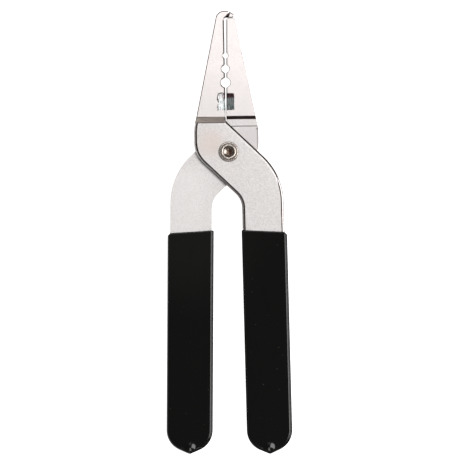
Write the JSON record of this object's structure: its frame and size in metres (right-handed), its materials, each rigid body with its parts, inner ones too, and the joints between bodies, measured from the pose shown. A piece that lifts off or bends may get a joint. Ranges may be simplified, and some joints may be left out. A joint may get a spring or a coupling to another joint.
{
  "type": "split-ring pliers",
  "caption": "Crossed-lever split-ring pliers with a hooked beak, crimping notches, a bevelled side cutter and dipped vinyl handles.",
  "frame": {"origin": "where the pivot axis meets the plane the pliers lie on, in the middle of the rivet's flat rear head", "axes": "+Z along the pivot axis, up out of the front face; +Y along the line where the jaws meet, towards their tips; +X to the right"},
  "size_m": [0.0431, 0.152, 0.0071],
  "materials": {
    "lever_steel": "satin nickel plate over stamped steel, bright in the jaws and cutter",
    "rivet_steel": "formed and lightly scored steel",
    "grip_vinyl": "glossy black dipped vinyl"
  },
  "bodies": {
    "rear_half": {"rear_lever": "lever_steel", "rear_grip": "grip_vinyl", "pivot_rivet": "rivet_steel"},
    "front_half": {"front_lever": "lever_steel", "front_grip": "grip_vinyl"}
  },
  "joints": [
    {"name": "pivot", "type": "hinge", "parent": "rear_half", "child": "front_half", "pos_m": [0, 0, 0.00353], "axis": [0, 0, 1], "range_deg": [-0.95, 58]}
  ]
}
